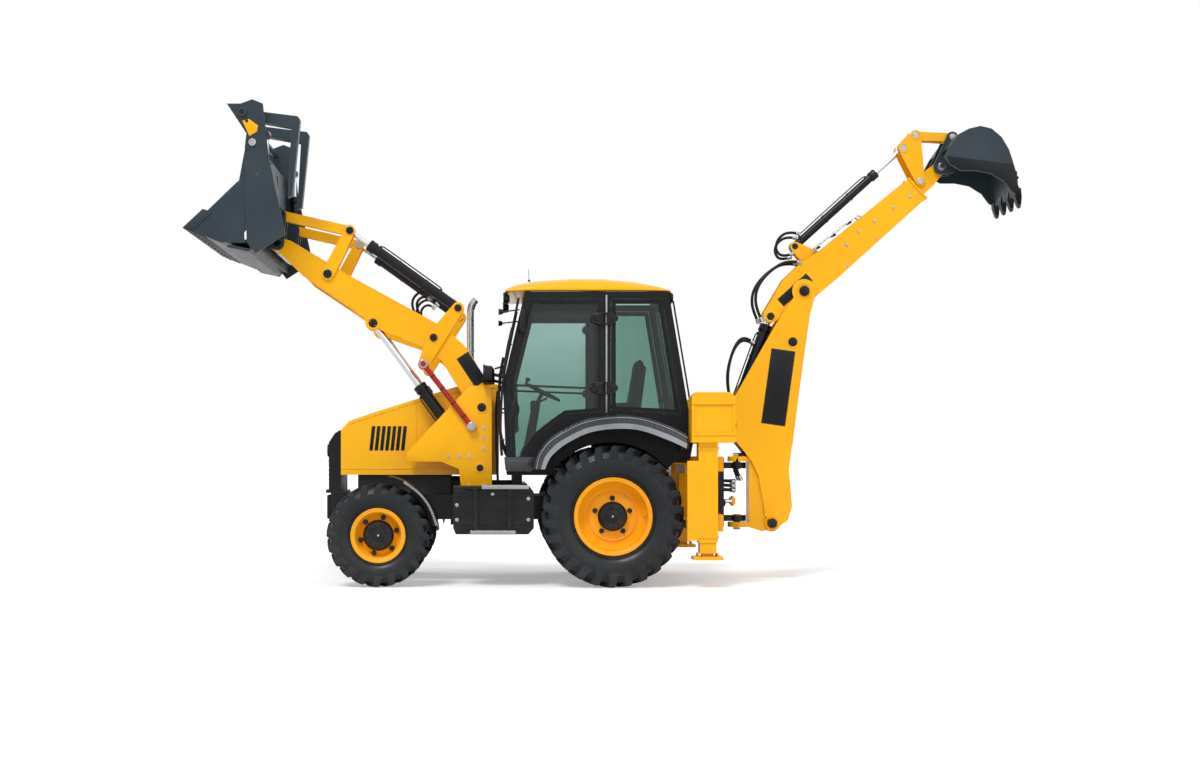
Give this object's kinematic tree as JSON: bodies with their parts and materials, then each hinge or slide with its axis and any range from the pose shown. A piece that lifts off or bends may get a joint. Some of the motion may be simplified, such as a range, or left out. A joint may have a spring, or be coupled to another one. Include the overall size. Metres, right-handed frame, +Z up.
{
  "type": "backhoe loader",
  "caption": "Wheeled digger-loader with a clam bucket on raised parallel-lift arms, a cab, and an extending digging arm on a side-shifting, swinging post.",
  "frame": {"origin": "on the ground under the middle of the overall length", "axes": "+X towards the digging arm at the rear, -X towards the loading bucket, +Y to the machine's right side, +Z up"},
  "size_m": [8.125, 2.48, 4.6],
  "materials": {
    "yellow_paint": "gloss",
    "slate_paint": "satin",
    "black_paint": "satin",
    "red_paint": "gloss",
    "rim_paint": "satin",
    "cast_grey": "satin",
    "rod_chrome": "polished",
    "pin_steel": "satin",
    "tyre_rubber": "matte",
    "dark_panels": "matte",
    "yellow_panels": "gloss",
    "fender_grey": "satin",
    "cab_fabric": "matte",
    "tinted_glass": "gloss"
  },
  "bodies": {
    "chassis": {"chassis_frame": "black_paint", "axles": "black_paint", "engine_and_stack": "cast_grey", "rear_fenders": "fender_grey", "step_boxes": "black_paint", "cab_frame": "dark_panels", "cab_roof": "yellow_panels", "cab_glass": "tinted_glass", "cab_fittings": "cab_fabric", "rear_frame": "yellow_paint"},
    "knuckle_left": {"knuckle_left": "black_paint"},
    "knuckle_right": {"knuckle_right": "black_paint"},
    "hood": {"hood": "yellow_panels", "nose_grille": "dark_panels"},
    "door_left": {"door_left": "dark_panels", "door_left_glass": "tinted_glass"},
    "door_right": {"door_right": "dark_panels", "door_right_glass": "tinted_glass"},
    "loader_arms": {"loader_arms": "yellow_paint"},
    "level_levers": {"levelling_levers": "yellow_paint"},
    "level_links": {"levelling_links": "red_paint"},
    "lift_barrels": {"lift_ram_barrels": "black_paint"},
    "lift_rods": {"lift_ram_rods": "rod_chrome"},
    "tilt_barrels": {"tilt_ram_barrels": "black_paint"},
    "tilt_rods": {"tilt_ram_rods": "rod_chrome"},
    "lever_pins": {"lever_pins": "pin_steel"},
    "bucket_pins": {"bucket_pins": "pin_steel"},
    "tilt_levers": {"tilt_levers": "yellow_paint"},
    "link_pins": {"link_pins": "pin_steel"},
    "tilt_links": {"tilt_links": "yellow_paint"},
    "loader_bucket": {"loader_bucket": "slate_paint"},
    "clam_jaw": {"clam_jaw": "slate_paint"},
    "clam_barrels": {"clam_ram_barrels": "black_paint"},
    "clam_rods": {"clam_ram_rods": "rod_chrome"},
    "forks": {"folding_forks": "slate_paint"},
    "stabiliser_left": {"stabiliser_left": "yellow_paint"},
    "stabiliser_right": {"stabiliser_right": "yellow_paint"},
    "carriage": {"sideshift_carriage": "black_paint"},
    "kingpost": {"kingpost": "yellow_paint"},
    "boom": {"boom": "yellow_paint"},
    "boom_barrel": {"boom_ram_barrel": "black_paint"},
    "boom_rod": {"boom_ram_rod": "rod_chrome"},
    "dipper": {"dipper": "yellow_paint"},
    "dipper_barrel": {"dipper_ram_barrel": "black_paint"},
    "dipper_rod": {"dipper_ram_rod": "rod_chrome"},
    "extension": {"dipper_extension": "yellow_paint"},
    "bucket_barrel": {"bucket_ram_barrel": "black_paint"},
    "bucket_rod": {"bucket_ram_rod": "rod_chrome"},
    "tipping_lever": {"tipping_lever": "yellow_paint"},
    "bucket_link": {"bucket_link": "yellow_paint"},
    "dig_bucket": {"dig_bucket": "slate_paint"},
    "front_left_wheel": {"front_left_tyre": "tyre_rubber", "front_left_rim": "rim_paint"},
    "front_right_wheel": {"front_right_tyre": "tyre_rubber", "front_right_rim": "rim_paint"},
    "rear_left_wheel": {"rear_left_tyre": "tyre_rubber", "rear_left_rim": "rim_paint"},
    "rear_right_wheel": {"rear_right_tyre": "tyre_rubber", "rear_right_rim": "rim_paint"}
  },
  "joints": [
    {"name": "steer_left", "type": "hinge", "parent": "chassis", "child": "knuckle_left", "pos_m": [-2.2355, -0.69, 0.49], "axis": [0, 0, 1], "range_deg": [-30, 30]},
    {"name": "steer_right", "type": "hinge", "parent": "chassis", "child": "knuckle_right", "pos_m": [-2.2355, 0.69, 0.49], "axis": [0, 0, 1], "range_deg": [-30.5, 30.5]},
    {"name": "spin_front_left", "type": "hinge", "parent": "knuckle_left", "child": "front_left_wheel", "pos_m": [-2.2355, -0.905, 0.49], "axis": [0, 1, 0], "continuous": true},
    {"name": "spin_rear_left", "type": "hinge", "parent": "chassis", "child": "rear_left_wheel", "pos_m": [-0.0075, -0.93, 0.672], "axis": [0, 1, 0], "continuous": true},
    {"name": "spin_front_right", "type": "hinge", "parent": "knuckle_right", "child": "front_right_wheel", "pos_m": [-2.2355, 0.905, 0.49], "axis": [0, 1, 0], "continuous": true},
    {"name": "spin_rear_right", "type": "hinge", "parent": "chassis", "child": "rear_right_wheel", "pos_m": [-0.0075, 0.93, 0.672], "axis": [0, 1, 0], "continuous": true},
    {"name": "hood_open", "type": "hinge", "parent": "chassis", "child": "hood", "pos_m": [-1.0695, 0, 1.925], "axis": [0, 1, 0], "range_deg": [0, 50]},
    {"name": "door_left_open", "type": "hinge", "parent": "chassis", "child": "door_left", "pos_m": [-0.0855, -0.769, 1.9], "axis": [0, 0, 1], "range_deg": [0, 85]},
    {"name": "door_right_open", "type": "hinge", "parent": "chassis", "child": "door_right", "pos_m": [-0.0855, 0.769, 1.9], "axis": [0, 0, -1], "range_deg": [0, 85]},
    {"name": "loader_lift", "type": "hinge", "parent": "chassis", "child": "loader_arms", "pos_m": [-1.2535, 0, 1.717], "axis": [0, 1, 0], "range_deg": [-70, 0]},
    {"name": "lift_barrels_turn", "type": "hinge", "parent": "chassis", "child": "lift_barrels", "pos_m": [-1.2705, 0, 1.128], "axis": [0, 1, 0], "range_deg": [-61, 1]},
    {"name": "lift_rods_slide", "type": "slide", "parent": "lift_barrels", "child": "lift_rods", "axis": [-0.5942, 0, 0.8044], "range_m": [-0.64, 0.004]},
    {"name": "level_links_turn", "type": "hinge", "parent": "chassis", "child": "level_links", "pos_m": [-1.3515, 0, 1.53], "axis": [0, 1, 0], "range_deg": [-76.5, 1]},
    {"name": "level_levers_turn", "type": "hinge", "parent": "loader_arms", "child": "level_levers", "pos_m": [-1.7225, 0, 2.397], "axis": [0, 1, 0], "range_deg": [-1, 51.5]},
    {"name": "tilt_barrels_turn", "type": "hinge", "parent": "level_levers", "child": "tilt_barrels", "pos_m": [-1.4855, 0, 2.685], "axis": [0, 1, 0], "range_deg": [-46.5, 1]},
    {"name": "lever_pins_turn", "type": "hinge", "parent": "loader_arms", "child": "lever_pins", "pos_m": [-2.7545, 0, 3.017], "axis": [0, 1, 0], "range_deg": [-1, 36]},
    {"name": "bucket_pins_turn", "type": "hinge", "parent": "loader_arms", "child": "bucket_pins", "pos_m": [-3.2395, 0, 3.313], "axis": [0, 1, 0], "range_deg": [-1, 56.5]},
    {"name": "bucket_tilt", "type": "hinge", "parent": "bucket_pins", "child": "loader_bucket", "pos_m": [-3.2395, 0, 3.313], "axis": [0, -1, 0], "range_deg": [-25, 65]},
    {"name": "tilt_levers_turn", "type": "hinge", "parent": "lever_pins", "child": "tilt_levers", "pos_m": [-2.7545, 0, 3.017], "axis": [0, -1, 0], "range_deg": [-13.5, 33.5]},
    {"name": "link_pins_turn", "type": "hinge", "parent": "tilt_levers", "child": "link_pins", "pos_m": [-2.5385, 0, 3.439], "axis": [0, 1, 0], "range_deg": [-31, 1]},
    {"name": "tilt_links_turn", "type": "hinge", "parent": "link_pins", "child": "tilt_links", "pos_m": [-2.5385, 0, 3.439], "axis": [0, -1, 0], "range_deg": [-20.5, 8.5]},
    {"name": "tilt_rods_slide", "type": "slide", "parent": "tilt_barrels", "child": "tilt_rods", "axis": [-0.8131, 0, 0.5822], "range_m": [-0.1, 0.255]},
    {"name": "clam_open", "type": "hinge", "parent": "loader_bucket", "child": "clam_jaw", "pos_m": [-3.4055, 0, 4.195], "axis": [0, 1, 0], "range_deg": [0, 75]},
    {"name": "clam_barrels_turn", "type": "hinge", "parent": "loader_bucket", "child": "clam_barrels", "pos_m": [-3.2925, 0, 3.49], "axis": [0, 1, 0], "range_deg": [-3, 1]},
    {"name": "clam_rods_slide", "type": "slide", "parent": "clam_barrels", "child": "clam_rods", "axis": [0.0192, 0, 0.9998], "range_m": [-0.182, 0.002]},
    {"name": "forks_fold", "type": "hinge", "parent": "loader_bucket", "child": "forks", "pos_m": [-3.5005, 0, 4.481], "axis": [0, 1, 0], "range_deg": [-265, 0]},
    {"name": "stabiliser_left_down", "type": "slide", "parent": "chassis", "child": "stabiliser_left", "axis": [0, 0, -1], "range_m": [0, 0.55]},
    {"name": "stabiliser_right_down", "type": "slide", "parent": "chassis", "child": "stabiliser_right", "axis": [0, 0, -1], "range_m": [0, 0.55]},
    {"name": "sideshift", "type": "slide", "parent": "chassis", "child": "carriage", "axis": [0, 1, 0], "range_m": [-0.55, 0.55]},
    {"name": "swing", "type": "hinge", "parent": "carriage", "child": "kingpost", "pos_m": [1.3145, 0, 0.9], "axis": [0, 0, 1], "range_deg": [-90, 90]},
    {"name": "boom_raise", "type": "hinge", "parent": "kingpost", "child": "boom", "pos_m": [1.6495, 0, 0.572], "axis": [0, -1, 0], "range_deg": [-65, 4]},
    {"name": "boom_barrel_turn", "type": "hinge", "parent": "kingpost", "child": "boom_barrel", "pos_m": [1.5485, 0, 1.086], "axis": [0, -1, 0], "range_deg": [-76, 7]},
    {"name": "boom_rod_slide", "type": "slide", "parent": "boom_barrel", "child": "boom_rod", "axis": [0.2304, 0, 0.9731], "range_m": [-0.045, 0.505]},
    {"name": "dipper_crowd", "type": "hinge", "parent": "boom", "child": "dipper", "pos_m": [1.9715, 0, 2.897], "axis": [0, 1, 0], "range_deg": [0, 100]},
    {"name": "dipper_barrel_turn", "type": "hinge", "parent": "boom", "child": "dipper_barrel", "pos_m": [1.2475, 0, 1.556], "axis": [0, 1, 0], "range_deg": [-7, 1]},
    {"name": "dipper_rod_slide", "type": "slide", "parent": "dipper_barrel", "child": "dipper_rod", "axis": [0.3395, 0, 0.9406], "range_m": [-0.004, 0.637]},
    {"name": "dipper_extend", "type": "slide", "parent": "dipper", "child": "extension", "axis": [0.7421, 0, 0.6703], "range_m": [0, 1.2]},
    {"name": "dig_bucket_curl", "type": "hinge", "parent": "extension", "child": "dig_bucket", "pos_m": [3.3575, 0, 4.149], "axis": [0, 1, 0], "range_deg": [-37, 50]},
    {"name": "tipping_lever_turn", "type": "hinge", "parent": "extension", "child": "tipping_lever", "pos_m": [3.1415, 0, 4.006], "axis": [0, 1, 0], "range_deg": [-24, 36]},
    {"name": "bucket_link_turn", "type": "hinge", "parent": "dig_bucket", "child": "bucket_link", "pos_m": [3.4685, 0, 4.448], "axis": [0, 1, 0], "range_deg": [-35, 24]},
    {"name": "bucket_barrel_turn", "type": "hinge", "parent": "extension", "child": "bucket_barrel", "pos_m": [1.8925, 0, 3.355], "axis": [0, 1, 0], "range_deg": [-3, 4]},
    {"name": "bucket_rod_slide", "type": "slide", "parent": "bucket_barrel", "child": "bucket_rod", "axis": [0.7408, 0, 0.6717], "range_m": [-0.15, 0.22]}
  ],
  "couplings": [
    {"joint": "steer_right", "follows": "steer_left", "ratio": 1},
    {"joint": "lift_barrels_turn", "follows": "loader_lift", "ratio": 0.857},
    {"joint": "lift_rods_slide", "follows": "loader_lift", "m_per_rad": 0.5157},
    {"joint": "level_links_turn", "follows": "loader_lift", "ratio": 1.074},
    {"joint": "level_levers_turn", "follows": "loader_lift", "ratio": -0.7186},
    {"joint": "tilt_barrels_turn", "follows": "loader_lift", "ratio": 0.65},
    {"joint": "lever_pins_turn", "follows": "loader_lift", "ratio": -0.5},
    {"joint": "link_pins_turn", "follows": "loader_lift", "ratio": 0.427},
    {"joint": "bucket_pins_turn", "follows": "loader_lift", "ratio": -0.79},
    {"joint": "tilt_levers_turn", "follows": "bucket_tilt", "ratio": 0.5},
    {"joint": "tilt_links_turn", "follows": "bucket_tilt", "ratio": -0.3},
    {"joint": "tilt_rods_slide", "follows": "bucket_tilt", "m_per_rad": 0.2177},
    {"joint": "clam_barrels_turn", "follows": "clam_open", "ratio": -0.0236},
    {"joint": "clam_rods_slide", "follows": "clam_open", "m_per_rad": -0.1368},
    {"joint": "boom_barrel_turn", "follows": "boom_raise", "ratio": 1.148},
    {"joint": "boom_rod_slide", "follows": "boom_raise", "m_per_rad": -0.439},
    {"joint": "dipper_barrel_turn", "follows": "dipper_crowd", "ratio": -0.06},
    {"joint": "dipper_rod_slide", "follows": "dipper_crowd", "m_per_rad": 0.363},
    {"joint": "tipping_lever_turn", "follows": "dig_bucket_curl", "ratio": 0.58},
    {"joint": "bucket_link_turn", "follows": "dig_bucket_curl", "ratio": -0.557},
    {"joint": "bucket_barrel_turn", "follows": "dig_bucket_curl", "ratio": 0.03},
    {"joint": "bucket_rod_slide", "follows": "dig_bucket_curl", "m_per_rad": 0.2039}
  ]
}
